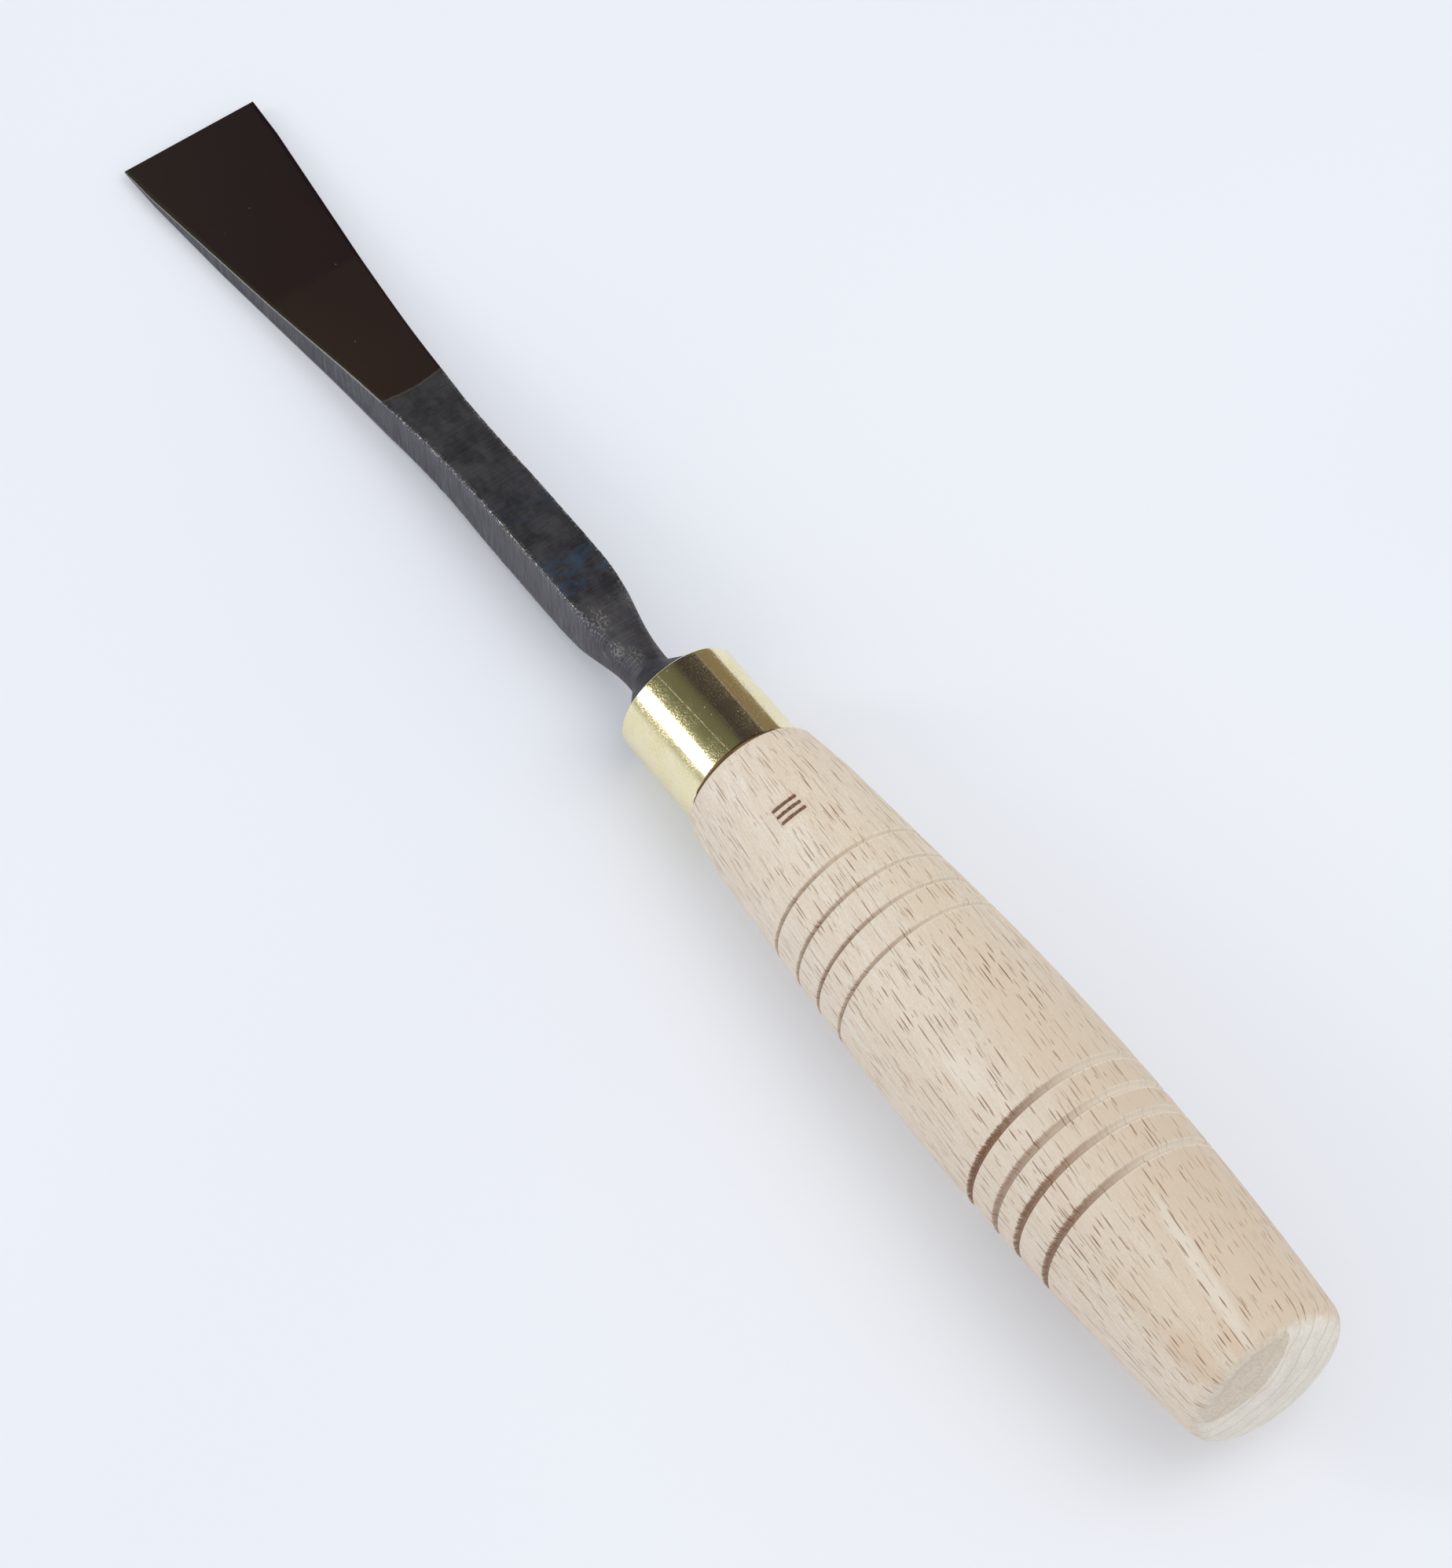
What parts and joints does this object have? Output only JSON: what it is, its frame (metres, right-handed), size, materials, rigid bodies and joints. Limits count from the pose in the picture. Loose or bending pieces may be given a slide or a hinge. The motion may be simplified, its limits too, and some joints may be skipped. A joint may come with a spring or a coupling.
{
  "type": "wood-carving chisel",
  "caption": "Flared hand chisel for wood: flat fish-tail steel blade on a forged shank, brass ferrule and a turned, ringed beech handle with a rounded butt.",
  "frame": {"origin": "on the tool's axis at mid-length, which is the centre of its bounding box", "axes": "+X along the axis towards the cutting edge, +Z out of the blade's flat face, +Y to the left when looking from the handle towards the edge"},
  "size_m": [0.287, 0.0322, 0.0322],
  "materials": {
    "blade_steel": "mirror-polished front, dark forge scale with fine grinding lines on the shank",
    "ferrule_brass": "polished, with fine scratches",
    "handle_beech": "smooth turned beech with short dark pores, satin"
  },
  "bodies": {
    "root": {"blade": "blade_steel", "ferrule": "ferrule_brass", "handle": "handle_beech"}
  },
  "joints": []
}
